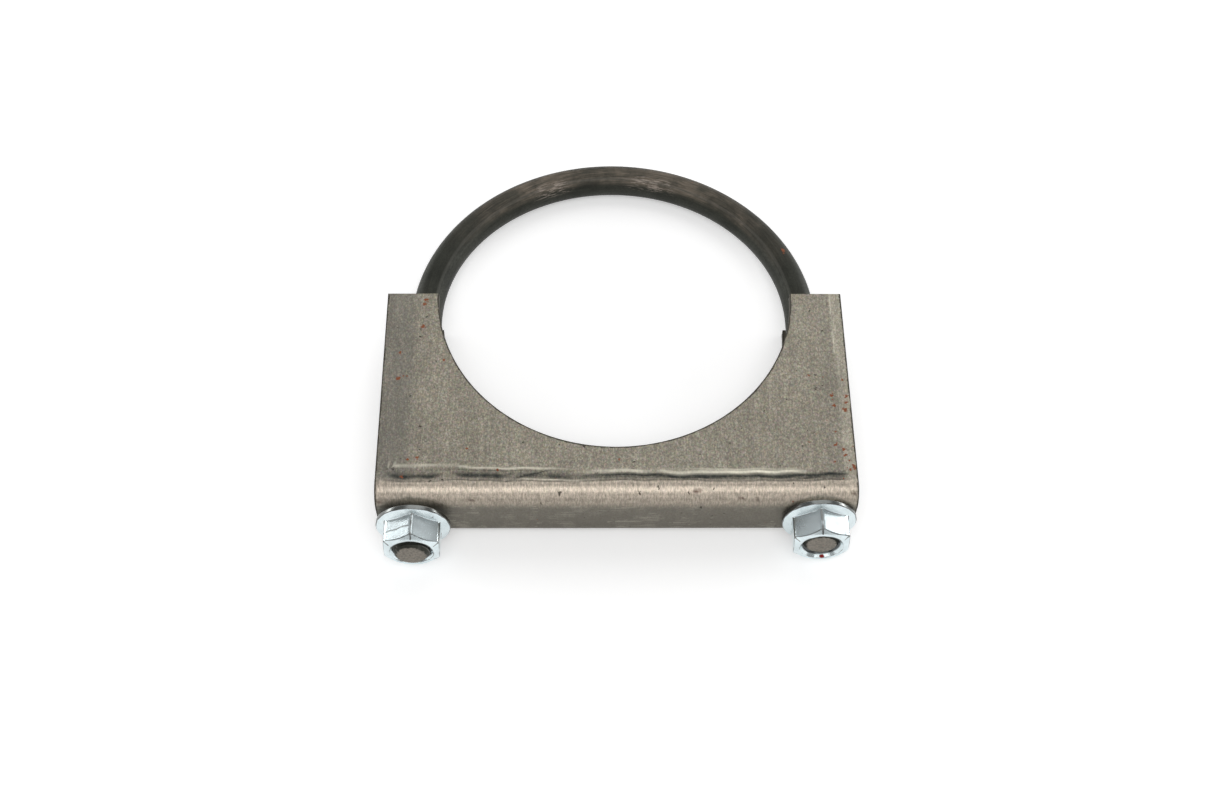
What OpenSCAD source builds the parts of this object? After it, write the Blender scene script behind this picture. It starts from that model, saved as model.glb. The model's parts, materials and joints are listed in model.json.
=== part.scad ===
// Saddle clamp for a round tube: a pressed channel saddle, a threaded U-bolt and two flange nuts.
// The origin is on the axis of the tube seat, half-way up the channel. +X runs across the clamp,
// +Y from the web towards the crown of the bow, and +Z along the tube.

/* [Tube seat] */
// Radius of the seat cut in both flanges
seat_r = 47.6; // [46:0.1:49]

/* [Saddle] */
// Width of the saddle across the clamp
saddle_w = 122.8; // [122:0.1:130]
// Length of the arms, from the web's outer face to the seat axis
saddle_l = 62.6; // [60:0.1:80]
// Height of the channel over both flanges
channel_h = 20.6; // [20:0.1:26]
// Thickness of the sheet
sheet_t = 2.7; // [2:0.1:3]
// Outer radius of the two long bends
bend_r = 5.2; // [4:0.1:5.4]
// Diameter of the two bolt holes in the web
hole_d = 11.1; // [11:0.1:12]

/* [U-bolt] */
// Distance between the axes of the two legs
leg_gap = 104.1; // [104:0.1:105]
// Diameter of the plain rod
rod_d = 8.5; // [8:0.1:8.6]
// Length of the left leg, from the centre of the bow to its end
left_leg_l = 73.9; // [72:0.1:90]
// Length of the right leg, from the centre of the bow to its end
right_leg_l = 71; // [70:0.1:90]
// Outside diameter of the thread
thread_d = 9.5; // [9:0.1:9.6]
// Length of the thread on each leg
thread_l = 40; // [30:1:44]
// Length of the chamfer at each leg's end
end_chamfer = 0.7; // [0.3:0.1:1.5]

/* [Nuts] */
// Width across the flats
nut_af = 14.2; // [14:0.1:15]
// Height over all
nut_h = 8.5; // [8:0.1:9]
// Diameter of the flange
flange_d = 19.1; // [18:0.1:19.6]
// Thickness of the flange at its rim
flange_rim = 1.2; // [0.8:0.1:1.6]
// Rise of the flange's sloping side, in degrees
flange_slope = 24; // [15:1:30]
// Radial clearance between nut and thread
thread_play = 0.05; // [0.02:0.01:0.1]
// Space between the left nut and the web's outer face, measured along the leg
left_nut_space = 1.9; // [0.5:0.1:4]
// Space between the right nut and the web's outer face, measured along the leg
right_nut_space = 0.6; // [0.5:0.1:4]

/* [Lie of the loose bolt] */
// How far the bow hangs down from the holes, in degrees
bolt_droop = 3.2; // [0:0.1:3.2]
// How far the legs lie above the middle of the holes
bolt_lift = 0.4; // [0:0.1:0.4]

/* [Hidden] */
$fn = 96;
web_front = -saddle_l;
web_middle = web_front + sheet_t / 2;
bow_r = leg_gap / 2;
rod_r = rod_d / 2;
thread_r = thread_d / 2;
thread_root_r = 4.0;
nut_bore_r = thread_r + thread_play;
nut_corner_r = nut_af / 2 / cos(30);
nut_face_r = 6.5;
nut_face_slope = 30;
countersink = 0.75;
flange_r = flange_d / 2;
flange_top = flange_rim + (flange_r - nut_bore_r) * tan(flange_slope);
left_nut_turn = 2.5;
right_nut_turn = -3.5;
past = 1;

// A rectangle from the web's outer face at the left, with its two left corners rounded
module rounded_back(length, height, corner_r) {
    translate([corner_r, -height / 2]) square([length - corner_r, height]);
    translate([0, corner_r - height / 2]) square([length, height - 2 * corner_r]);
    for (side = [-1, 1])
        translate([corner_r, side * (height / 2 - corner_r)]) circle(r = corner_r);
}

// The bent sheet seen from its open end: the web at the left and a flange above and below
module channel_section() {
    difference() {
        rounded_back(saddle_l, channel_h, bend_r);
        translate([sheet_t, 0])
            rounded_back(saddle_l - sheet_t + past, channel_h - 2 * sheet_t, bend_r - sheet_t);
    }
}

module saddle() {
    color([0.42, 0.38, 0.34]) difference() {
        translate([-saddle_w / 2, web_front, 0]) rotate([90, 0, 90])
            linear_extrude(height = saddle_w) channel_section();
        translate([0, 0, -channel_h]) cylinder(r = seat_r, h = 2 * channel_h);
        for (side = [-1, 1])
            translate([side * leg_gap / 2, web_front - past, 0]) rotate([-90, 0, 0])
                cylinder(d = hole_d, h = sheet_t + 2 * past);
    }
}

// Tips the bolt and its nuts about the line between the two holes, as far as the loose bow hangs down
module as_it_lies() {
    translate([0, web_middle, bolt_lift]) rotate([-bolt_droop, 0, 0])
        translate([0, -web_middle, 0]) children();
}

// One leg, from the centre of the bow down to its threaded and chamfered end
module leg(leg_l) {
    plain_l = leg_l - thread_l;
    runout = thread_r - rod_r;
    rotate([90, 0, 0]) rotate_extrude() polygon([
        [0, 0], [rod_r, 0], [rod_r, plain_l - runout], [thread_r, plain_l],
        [thread_r, leg_l - end_chamfer], [thread_root_r, leg_l], [0, leg_l]
    ]);
}

module u_bolt() {
    color([0.30, 0.28, 0.27]) as_it_lies() {
        rotate_extrude(angle = 180) translate([bow_r, 0]) circle(r = rod_r);
        translate([-bow_r, 0, 0]) leg(left_leg_l);
        translate([bow_r, 0, 0]) leg(right_leg_l);
    }
}

// The hexagon with its outer corners turned off at a slope
module nut_hexagon() {
    cone_l = nut_h + nut_face_r * tan(nut_face_slope);
    intersection() {
        rotate([0, 0, 90]) cylinder(r = nut_corner_r, h = nut_h, $fn = 6);
        cylinder(r1 = cone_l / tan(nut_face_slope), r2 = 0, h = cone_l);
    }
}

// The round flange: an upright rim and a sloping side that runs up into the hexagon
module nut_flange() {
    rotate_extrude() polygon([
        [0, 0], [flange_r, 0], [flange_r, flange_rim], [nut_bore_r, flange_top], [0, flange_top]
    ]);
}

// A flange nut seated on Z = 0, with its bore countersunk at both ends
module flange_nut() {
    difference() {
        union() {
            nut_hexagon();
            nut_flange();
        }
        translate([0, 0, -past]) cylinder(r = nut_bore_r, h = nut_h + 2 * past);
        translate([0, 0, -past])
            cylinder(r1 = nut_bore_r + countersink + past, r2 = nut_bore_r, h = countersink + past);
        translate([0, 0, nut_h - countersink])
            cylinder(r1 = nut_bore_r, r2 = nut_bore_r + countersink + past, h = countersink + past);
    }
}

// A nut on one leg, its flange facing the web
module nut_on_leg(side, space, turn) {
    color([0.80, 0.84, 0.85]) as_it_lies()
        translate([side * leg_gap / 2, web_front - space, 0]) rotate([90, turn, 0]) flange_nut();
}

module nut_left() {
    nut_on_leg(-1, left_nut_space, left_nut_turn);
}

module nut_right() {
    nut_on_leg(1, right_nut_space, right_nut_turn);
}

saddle();
u_bolt();
nut_left();
nut_right();
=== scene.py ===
"""Looks of a saddle clamp with its U-bolt and two flange nuts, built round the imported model.

The saddle is cut out flat, pierced and then bent, as the real one is. The threads of the bolt and of the
nuts come from one Geometry Nodes tree and share a leg's own frame, so a nut's thread stays inside the
bolt's thread as the clamp is drawn up.
"""
import json
import logging
import math
from dataclasses import dataclass
from enum import Enum
from typing import Any

import bmesh
import bpy
import numpy as np
from mathutils import Matrix, Vector


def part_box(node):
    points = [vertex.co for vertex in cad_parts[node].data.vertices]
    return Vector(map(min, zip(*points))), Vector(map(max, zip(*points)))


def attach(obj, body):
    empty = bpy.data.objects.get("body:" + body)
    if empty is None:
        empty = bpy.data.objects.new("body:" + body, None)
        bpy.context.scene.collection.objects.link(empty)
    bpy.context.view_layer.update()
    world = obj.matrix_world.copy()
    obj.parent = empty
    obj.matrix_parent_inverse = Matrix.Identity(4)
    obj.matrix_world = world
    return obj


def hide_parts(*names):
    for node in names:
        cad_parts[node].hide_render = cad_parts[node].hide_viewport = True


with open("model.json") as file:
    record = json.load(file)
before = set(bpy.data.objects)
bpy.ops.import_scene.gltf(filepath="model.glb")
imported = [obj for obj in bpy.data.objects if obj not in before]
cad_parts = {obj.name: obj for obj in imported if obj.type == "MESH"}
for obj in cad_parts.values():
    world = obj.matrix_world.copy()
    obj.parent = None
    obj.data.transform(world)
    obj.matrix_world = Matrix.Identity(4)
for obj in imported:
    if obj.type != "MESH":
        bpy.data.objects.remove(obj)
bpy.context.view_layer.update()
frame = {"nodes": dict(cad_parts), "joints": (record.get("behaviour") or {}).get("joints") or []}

MM = 0.001
LOG = logging.getLogger("saddle_clamp")

Socket = bpy.types.NodeSocket
Colour = tuple[float, float, float, float]


class Side(Enum):
    """The two sides of the clamp, each with the sign of X there."""

    LEFT = -1
    RIGHT = 1


# How far each nut is turned from a corner straight up, in degrees clockwise as seen from its leg's end.
NUT_TURNS = {Side.LEFT: 2.5, Side.RIGHT: -3.5}


# ---------------------------------------------------------------------------------------------------------
# Node trees


class Graph:
    """Writes a node tree one node at a time."""

    def __init__(self, tree: bpy.types.NodeTree) -> None:
        """Takes the tree that the nodes go into."""
        self.tree = tree

    def feed(self, socket: Socket, value: Any) -> None:
        """Links a socket to an input, or sets the input to a plain value.

        Args:
            socket: The input.
            value: What it is given.
        """
        if isinstance(value, bpy.types.NodeSocket):
            self.tree.links.new(value, socket)
        else:
            socket.default_value = value

    def add(self, kind: str, inputs: dict[Any, Any] | None = None, **settings: Any) -> bpy.types.Node:
        """Adds one node.

        Args:
            kind: The node's type.
            inputs: A socket or a plain value for each input, by its name or number.
            settings: The node's own options.

        Returns:
            The new node.
        """
        node = self.tree.nodes.new(kind)
        for name, value in settings.items():
            setattr(node, name, value)
        for key, value in (inputs or {}).items():
            self.feed(node.inputs[key], value)
        return node

    def math(self, operation: str, *values: Any) -> Socket:
        """Works out one number from up to three."""
        return self.add("ShaderNodeMath", dict(enumerate(values)), operation=operation).outputs[0]

    def remap(self, value: Any, low: Any, high: Any, to_low: Any = 0.0, to_high: Any = 1.0) -> Socket:
        """Carries a value from one range into another, eased at both ends and held beyond them.

        Args:
            value: The value to carry over.
            low: Where the first range starts.
            high: Where the first range ends.
            to_low: What low becomes.
            to_high: What high becomes.

        Returns:
            The value in the second range.
        """
        inputs = {"Value": value, "From Min": low, "From Max": high, "To Min": to_low, "To Max": to_high}
        return self.add("ShaderNodeMapRange", inputs, interpolation_type="SMOOTHSTEP").outputs["Result"]

    def sharpen(self, value: Socket, contrast: Socket) -> Socket:
        """A value stretched about one half by a contrast."""
        half = self.math("DIVIDE", 0.5, contrast)
        return self.remap(value, self.math("SUBTRACT", 0.5, half), self.math("ADD", 0.5, half))

    def band(self, value: Socket, centre: float, half_width: float, soft: float) -> Socket:
        """A mask that is 1 within a half width of the centre and fades out over the soft distance.

        Args:
            value: The coordinate that the band lies across.
            centre: The middle of the band.
            half_width: Half the width of the full band.
            soft: The distance over which it fades.

        Returns:
            The mask.
        """
        away = self.math("ABSOLUTE", self.math("SUBTRACT", value, centre))
        return self.remap(away, half_width, half_width + soft, 1.0, 0.0)

    def mix(self, factor: Any, first: Any, second: Any, blend: str = "MIX") -> Socket:
        """Mixes two colours.

        Args:
            factor: How much of the second colour shows.
            first: The colour underneath.
            second: The colour on top.
            blend: The way the second is laid on.

        Returns:
            The mixed colour.
        """
        inputs = {0: factor, 6: first, 7: second}
        return self.add("ShaderNodeMix", inputs, data_type="RGBA", blend_type=blend).outputs[2]

    def times(self, first: Any, second: Any) -> Socket:
        """The product of two numbers."""
        return self.math("MULTIPLY", first, second)

    def coat(self, body: Any, colour: Any, mask: Socket, amount: Any) -> Socket:
        """Lays a colour over another.

        Args:
            body: The colour underneath.
            colour: The colour on top.
            mask: Where the top colour shows.
            amount: How much of it shows there.

        Returns:
            The coated colour.
        """
        return self.mix(self.times(mask, amount), body, colour)

    def noise(self, place: Socket, scale: Any, detail: float = 2.0, roughness: float = 0.5) -> Socket:
        """A noise value.

        Args:
            place: The point to read the noise at.
            scale: How many swings there are in a unit of length.
            detail: How many finer layers are added.
            roughness: How strong the finer layers are.

        Returns:
            The noise, about 0.3 to 0.7.
        """
        inputs = {"Vector": place, "Scale": scale, "Detail": detail, "Roughness": roughness}
        return self.add("ShaderNodeTexNoise", inputs).outputs["Fac"]

    def stretch(self, place: Socket, scales: Any) -> Socket:
        """A point with each of its coordinates multiplied by its own scale."""
        return self.add("ShaderNodeVectorMath", {0: place, 1: scales}, operation="MULTIPLY").outputs[0]

    def ragged(self, place: Socket, scale: float, amount: float) -> Socket:
        """A point pushed about by noise.

        Args:
            place: The point.
            scale: How many swings the noise makes in a unit of length.
            amount: How far the point moves, at the most about half of this.

        Returns:
            The moved point.
        """
        noise = self.add("ShaderNodeTexNoise", {"Vector": place, "Scale": scale, "Detail": 2.0})
        inputs = {0: noise.outputs["Color"], 1: (0.5, 0.5, 0.5)}
        centred = self.add("ShaderNodeVectorMath", inputs, operation="SUBTRACT").outputs[0]
        inputs = {0: centred, 1: (amount, amount, amount), 2: place}
        return self.add("ShaderNodeVectorMath", inputs, operation="MULTIPLY_ADD").outputs[0]

    def split(self, place: Socket) -> tuple[Socket, Socket, Socket]:
        """The three coordinates of a point."""
        parts = self.add("ShaderNodeSeparateXYZ", {0: place}).outputs
        return parts[0], parts[1], parts[2]

    def group(self, tree: bpy.types.NodeTree, **inputs: Any) -> Socket:
        """Places a shared group, with an input's name written in small letters, and gives its output."""
        named = {name.replace("_", " ").title(): value for name, value in inputs.items()}
        return self.add("ShaderNodeGroup", named, node_tree=tree).outputs[0]


def new_group(
    name: str, kind: str, inputs: dict[str, str], outputs: dict[str, str]
) -> tuple[Graph, Any, Any]:
    """Starts a node group.

    Args:
        name: The group's name.
        kind: ShaderNodeTree or GeometryNodeTree.
        inputs: The type of each input socket, by name.
        outputs: The type of each output socket, by name.

    Returns:
        The group's graph, its input sockets as nodes inside see them, and its output node's inputs.
    """
    tree = bpy.data.node_groups.new(name, kind)
    for direction, sockets in (("INPUT", inputs), ("OUTPUT", outputs)):
        for socket_name, socket_kind in sockets.items():
            tree.interface.new_socket(socket_name, in_out=direction, socket_type=socket_kind)
    graph = Graph(tree)
    return graph, graph.add("NodeGroupInput").outputs, graph.add("NodeGroupOutput").inputs


FLOAT = "NodeSocketFloat"
VECTOR = "NodeSocketVector"


class SharedEffects:
    """The effects that more than one finish uses, each a node group that is built once."""

    def __init__(self) -> None:
        """Builds all the groups."""
        self.tone = self.make_tone()
        self.grain = self.make_grain()
        self.specks = self.make_specks()
        self.edge_wear_and_shade = self.make_edge_wear_and_shade()
        self.spot = self.make_spot()

    @staticmethod
    def make_tone() -> bpy.types.NodeTree:
        """Large soft patches that are a little lighter or darker.

        Returns:
            The group, whose tone runs from 0 to 1.
        """
        sockets = {"Place": VECTOR, "Scale": FLOAT, "Contrast": FLOAT}
        graph, given, out = new_group("uneven_tone", "ShaderNodeTree", sockets, {"Tone": FLOAT})
        noise = graph.noise(given["Place"], given["Scale"], 4.0, 0.6)
        graph.feed(out["Tone"], graph.sharpen(noise, given["Contrast"]))
        return graph.tree

    @staticmethod
    def make_grain() -> bpy.types.NodeTree:
        """Fine streaks that run along the way the metal was rolled or drawn.

        Returns:
            The group, whose grain runs from 0 to 1.
        """
        sockets = {"Place": VECTOR, "Stretch": VECTOR, "Contrast": FLOAT}
        graph, given, out = new_group("drawn_grain", "ShaderNodeTree", sockets, {"Grain": FLOAT})
        noise = graph.noise(graph.stretch(given["Place"], given["Stretch"]), 1.0, 3.0, 0.65)
        graph.feed(out["Grain"], graph.sharpen(noise, given["Contrast"]))
        return graph.tree

    @staticmethod
    def make_specks() -> bpy.types.NodeTree:
        """Scattered small spots, such as rust, pits and dirt.

        Returns:
            The group, whose specks are a mask.
        """
        sockets = {"Place": VECTOR, "Scale": FLOAT, "Size": FLOAT, "Share": FLOAT}
        graph, given, out = new_group("scattered_specks", "ShaderNodeTree", sockets, {"Specks": FLOAT})
        inputs = {"Vector": given["Place"], "Scale": graph.times(given["Scale"], 2.5), "Detail": 2.0}
        ragged = graph.add("ShaderNodeTexNoise", inputs)
        inputs = {0: ragged.outputs["Color"], "Scale": graph.math("DIVIDE", 0.8, given["Scale"])}
        shove = graph.add("ShaderNodeVectorMath", inputs, operation="SCALE")
        place = graph.add("ShaderNodeVectorMath", {0: given["Place"], 1: shove.outputs[0]}, operation="ADD")
        cells = graph.add("ShaderNodeTexVoronoi", {"Vector": place.outputs[0], "Scale": given["Scale"]})
        lot, own_size, _ = graph.split(cells.outputs["Color"])
        chosen = graph.math("LESS_THAN", lot, given["Share"])
        radius = graph.times(given["Size"], graph.remap(own_size, 0.0, 1.0, 0.35, 1.0))
        spot = graph.remap(cells.outputs["Distance"], radius, graph.times(radius, 0.55))
        graph.feed(out["Specks"], graph.times(spot, chosen))
        return graph.tree

    @staticmethod
    def make_edge_wear_and_shade() -> bpy.types.NodeTree:
        """Breaks up a clean edge mask, so that an edge mark is stronger in some places than in others. The
        bolt uses it for wear on its thread crests, the saddle and the nuts for painted shade along their
        edges.

        Returns:
            The group, whose output is the broken mask.
        """
        sockets = {"Edge": FLOAT, "Place": VECTOR, "Scale": FLOAT}
        graph, given, out = new_group("edge_wear_and_shade", "ShaderNodeTree", sockets, {"Marked": FLOAT})
        noise = graph.noise(given["Place"], given["Scale"], 3.0)
        needed = graph.remap(noise, 0.3, 0.7, 0.15, 0.75)
        full = graph.math("ADD", needed, 0.3)
        graph.feed(out["Marked"], graph.remap(given["Edge"], needed, full))
        return graph.tree

    @staticmethod
    def make_spot() -> bpy.types.NodeTree:
        """One spot at a chosen place, with a border that is ragged where the place is pushed about.

        Returns:
            The group, whose spot is a mask.
        """
        sockets = {"Place": VECTOR, "Centre": VECTOR, "Size": FLOAT}
        graph, given, out = new_group("ragged_spot", "ShaderNodeTree", sockets, {"Spot": FLOAT})
        inputs = {0: given["Place"], 1: given["Centre"]}
        away = graph.add("ShaderNodeVectorMath", inputs, operation="DISTANCE").outputs["Value"]
        inside = graph.times(given["Size"], 0.5)
        graph.feed(out["Spot"], graph.remap(away, given["Size"], inside))
        return graph.tree


def make_thread_skin() -> bpy.types.NodeTree:
    """A Geometry Nodes tree that makes the skin of a threaded rod or of a threaded bore.

    The skin stands round Z from one level to another. The thread is right-handed, and its phase depends
    only on where a point is, so two skins with the same pitch fit into each other.

    Returns:
        The tree, whose inputs are all lengths in metres, except for the turn in radians and the counts.
    """
    lengths = (
        "Pitch", "Crest Radius", "Root Radius", "Start", "End", "Plain Radius", "Runout", "Tip Radius",
        "Tip Slope", "Mouth Radius", "Turn",
    )
    sockets = {name: FLOAT for name in lengths}
    sockets |= {"Columns": "NodeSocketInt", "Rows": "NodeSocketInt", "Material": "NodeSocketMaterial"}
    graph, given, out = new_group("thread_skin", "GeometryNodeTree", sockets, {"Mesh": "NodeSocketGeometry"})
    around_count = graph.math("ADD", given["Columns"], 1.0)
    grid = graph.add(
        "GeometryNodeMeshGrid",
        {"Size X": 1.0, "Size Y": 1.0, "Vertices X": given["Rows"], "Vertices Y": around_count},
    )
    along, around, _ = graph.split(graph.add("GeometryNodeInputPosition").outputs[0])
    share = graph.math("ADD", along, 0.5)
    span = graph.math("SUBTRACT", given["End"], given["Start"])
    level = graph.math("MULTIPLY_ADD", share, span, given["Start"])
    angle = graph.times(graph.math("ADD", around, 0.5), math.tau)
    turns = graph.math("DIVIDE", graph.math("ADD", angle, given["Turn"]), math.tau)
    phase = graph.math("FRACT", graph.math("SUBTRACT", graph.math("DIVIDE", level, given["Pitch"]), turns))
    wave = graph.math("ABSOLUTE", graph.math("MULTIPLY_ADD", phase, 2.0, -1.0))
    height = graph.remap(wave, 0.12, 0.94)
    depth = graph.math("SUBTRACT", given["Crest Radius"], given["Root Radius"])
    thread = graph.math("MULTIPLY_ADD", height, depth, given["Root Radius"])
    from_start = graph.math("SUBTRACT", level, given["Start"])
    from_end = graph.math("SUBTRACT", given["End"], level)
    cut = graph.remap(from_start, 0.0, given["Runout"])
    step_up = graph.math("SUBTRACT", thread, given["Plain Radius"])
    radius = graph.math("MULTIPLY_ADD", cut, step_up, given["Plain Radius"])
    tip = graph.math("MULTIPLY_ADD", from_end, given["Tip Slope"], given["Tip Radius"])
    radius = graph.math("MINIMUM", radius, tip)
    nearest = graph.math("MINIMUM", from_start, from_end)
    radius = graph.math("MAXIMUM", radius, graph.math("SUBTRACT", given["Mouth Radius"], nearest))
    x = graph.times(radius, graph.math("COSINE", angle))
    y = graph.times(radius, graph.math("SINE", angle))
    place = graph.add("ShaderNodeCombineXYZ", {0: x, 1: y, 2: level}).outputs[0]
    skin = graph.add("GeometryNodeSetPosition", {"Geometry": grid.outputs["Mesh"], "Position": place})
    sewn = graph.add("GeometryNodeMergeByDistance", {"Geometry": skin.outputs[0], "Distance": 1e-7})
    whole = graph.add("GeometryNodeRealizeInstances", {"Geometry": sewn.outputs[0]})
    dressed = graph.add(
        "GeometryNodeSetMaterial", {"Geometry": whole.outputs[0], "Material": given["Material"]}
    )
    graph.feed(out["Mesh"], dressed.outputs[0])
    return graph.tree


def run_tree(tree: bpy.types.NodeTree, values: dict[str, Any]) -> bpy.types.Mesh:
    """Runs a Geometry Nodes tree once.

    Args:
        tree: The tree.
        values: A value for each of the tree's inputs, by name.

    Returns:
        The plain mesh that it makes.
    """
    holder = bpy.data.objects.new("holder", bpy.data.meshes.new("holder"))
    modifier = holder.modifiers.new("skin", "NODES")
    modifier.node_group = tree
    for item in tree.interface.items_tree:
        if item.item_type == "SOCKET" and item.in_out == "INPUT":
            modifier[item.identifier] = values[item.name]
    bpy.context.scene.collection.objects.link(holder)
    depsgraph = bpy.context.evaluated_depsgraph_get()
    mesh = bpy.data.meshes.new_from_object(holder.evaluated_get(depsgraph), depsgraph=depsgraph)
    holder.modifiers.remove(modifier)
    bpy.data.objects.remove(holder)
    return mesh


# ---------------------------------------------------------------------------------------------------------
# Meshes


def smooth_min(first: np.ndarray, second: np.ndarray, blend: float) -> np.ndarray:
    """The smaller of two values, with the corner between them rounded over a blend distance."""
    share = np.clip(0.5 + 0.5 * (second - first) / blend, 0.0, 1.0)
    return second + (first - second) * share - blend * share * (1.0 - share)


def smooth_max(first: np.ndarray, second: np.ndarray, blend: float) -> np.ndarray:
    """The larger of two values, with the corner between them filled over a blend distance."""
    return -smooth_min(-first, -second, blend)


def ease(value: np.ndarray, low: float, high: float) -> np.ndarray:
    """0 below the low value and 1 above the high one, eased between them."""
    share = np.clip((value - low) / (high - low), 0.0, 1.0)
    return share * share * (3.0 - 2.0 * share)


def quads_of(index: np.ndarray) -> np.ndarray:
    """The four corners of each cell of a grid of vertex numbers."""
    corners = [index[:-1, :-1], index[1:, :-1], index[1:, 1:], index[:-1, 1:]]
    return np.stack(corners, axis=-1).reshape(-1, 4)


class Patchwork:
    """Grids and skins that are sewn together along their shared edges into one closed mesh."""

    def __init__(self) -> None:
        """Starts with nothing."""
        self.points: list[np.ndarray] = []
        self.faces: list[list[int]] = []
        self.marks: dict[str, list[np.ndarray]] = {}
        self.count = 0

    def add(self, points: np.ndarray, faces: list[list[int]], marks: dict[str, np.ndarray]) -> None:
        """Adds loose faces.

        Args:
            points: The vertices, one row each.
            faces: The vertex numbers of each face.
            marks: A number or a vector for each vertex, by the attribute's name.
        """
        self.points.append(points)
        self.faces.extend([corner + self.count for corner in face] for face in faces)
        for name, values in marks.items():
            self.marks.setdefault(name, []).append(values)
        self.count += len(points)

    def add_tube(self, points: np.ndarray, marks: dict[str, np.ndarray]) -> None:
        """Adds a grid of rings, closed round each ring.

        Args:
            points: The vertices, by ring and then round the ring.
            marks: As in add, in the same order.
        """
        rings, columns = points.shape[:2]
        index = np.arange(rings * columns).reshape(rings, columns)
        faces = quads_of(np.hstack([index, index[:, :1]])).tolist()
        flat = {name: values.reshape(rings * columns, -1) for name, values in marks.items()}
        self.add(points.reshape(-1, 3), faces, flat)

    def add_mesh(self, mesh: bpy.types.Mesh, points: np.ndarray, marks: dict[str, np.ndarray]) -> None:
        """Adds the faces of a mesh, with its vertices at new points."""
        self.add(points, [list(face.vertices) for face in mesh.polygons], marks)

    def sew(self, name: str) -> bpy.types.Mesh:
        """Joins vertices that share a place and turns every face outwards.

        Args:
            name: The mesh's name.

        Returns:
            The closed mesh.
        """
        mesh = bpy.data.meshes.new(name)
        mesh.from_pydata(np.concatenate(self.points).tolist(), [], self.faces)
        for mark, values in self.marks.items():
            store_mark(mesh, mark, np.concatenate(values))
        tidy = bmesh.new()
        tidy.from_mesh(mesh)
        bmesh.ops.remove_doubles(tidy, verts=tidy.verts, dist=2e-7)
        bmesh.ops.recalc_face_normals(tidy, faces=tidy.faces)
        tidy.to_mesh(mesh)
        tidy.free()
        return mesh


def points_of(mesh: bpy.types.Mesh) -> np.ndarray:
    """Reads a mesh's vertices.

    Args:
        mesh: The mesh.

    Returns:
        The place of each vertex.
    """
    points = np.empty(len(mesh.vertices) * 3)
    mesh.vertices.foreach_get("co", points)
    return points.reshape(-1, 3)


def store_mark(mesh: bpy.types.Mesh, name: str, values: np.ndarray) -> None:
    """Keeps a number or a vector for each vertex, for the finish to read.

    Args:
        mesh: The mesh.
        name: The attribute's name.
        values: One row for each vertex.
    """
    is_vector = values.ndim == 2 and values.shape[1] == 3
    layer = mesh.attributes.new(name, "FLOAT_VECTOR" if is_vector else "FLOAT", "POINT")
    layer.data.foreach_set("vector" if is_vector else "value", values.astype(np.float32).ravel())


def in_row_frame(points: np.ndarray, matrix: Matrix) -> np.ndarray:
    """Points in a leg's own frame, carried into the row frame."""
    turn = np.array(matrix.to_3x3())
    return points @ turn.T + np.array(matrix.translation)


def shade(mesh: bpy.types.Mesh, sharp_above: float) -> None:
    """Shades a mesh smooth, apart from edges sharper than an angle in degrees."""
    mesh.shade_smooth()
    mesh.set_sharp_from_angle(angle=math.radians(sharp_above))


def place_piece(mesh: bpy.types.Mesh, node: str, body: str) -> bpy.types.Object:
    """Puts a finished mesh into the scene in place of a CAD node.

    Args:
        mesh: The mesh, already in its place.
        node: The CAD node that it stands for.
        body: The body that it rides on.

    Returns:
        The piece's object.
    """
    piece = bpy.data.objects.new(mesh.name, mesh)
    bpy.context.scene.collection.objects.link(piece)
    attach(piece, body)
    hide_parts(node)
    LOG.info("%s: %d faces, rides on %s", piece.name, len(mesh.polygons), body)
    return piece


# ---------------------------------------------------------------------------------------------------------
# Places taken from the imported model


@dataclass(frozen=True)
class Leg:
    """One leg's own frame: Z runs down the leg from the bow's centre, X to the right and Y upwards."""

    side: Side
    matrix: Matrix
    length: float


class Layout:
    """Where the bolt, its legs and the nuts lie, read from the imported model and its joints."""

    def __init__(self, rod_radius: float) -> None:
        """Reads the joints and nodes.

        Args:
            rod_radius: The radius of the plain rod.
        """
        joints = {joint["name"]: joint for joint in frame["joints"]}
        self.down = Vector(joints["bolt_draw"]["axis"]).normalized()
        across = Vector((1.0, 0.0, 0.0))
        self.up = self.down.cross(across)
        right_point = Vector(joints["right_nut_turn"]["pos_m"])
        self.bow_radius = right_point.x
        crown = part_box("u_bolt")[1].y - rod_radius
        to_centre = (crown + self.bow_radius * self.down.y - right_point.y) / self.down.y
        centre = right_point + self.down * to_centre
        self.bow_centre = Vector((0.0, centre.y, centre.z))
        self.legs = {side: self.make_leg(side, across) for side in Side}

    def make_leg(self, side: Side, across: Vector) -> Leg:
        """Finds one leg's frame and its length down to the end.

        Args:
            side: The leg's side.
            across: The direction across the clamp.

        Returns:
            The leg.
        """
        axes = Matrix((across, self.up, self.down)).transposed().to_4x4()
        start = self.bow_centre + across * (side.value * self.bow_radius)
        matrix = Matrix.Translation(start) @ axes
        levels = self.levels("u_bolt", side, start)
        return Leg(side, matrix, float(levels.max()))

    def levels(self, node: str, side: Side, start: Vector) -> np.ndarray:
        """Measures how far down a leg the vertices of a node lie.

        Args:
            node: The node's name.
            side: The side of the clamp.
            start: The place to measure from.

        Returns:
            The distances, one for each vertex on that side.
        """
        points = points_of(frame["nodes"][node].data)
        points = points[points[:, 0] * side.value > 0.0]
        return (points - np.array(start)) @ np.array(self.down)


# ---------------------------------------------------------------------------------------------------------
# Finishes


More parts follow.
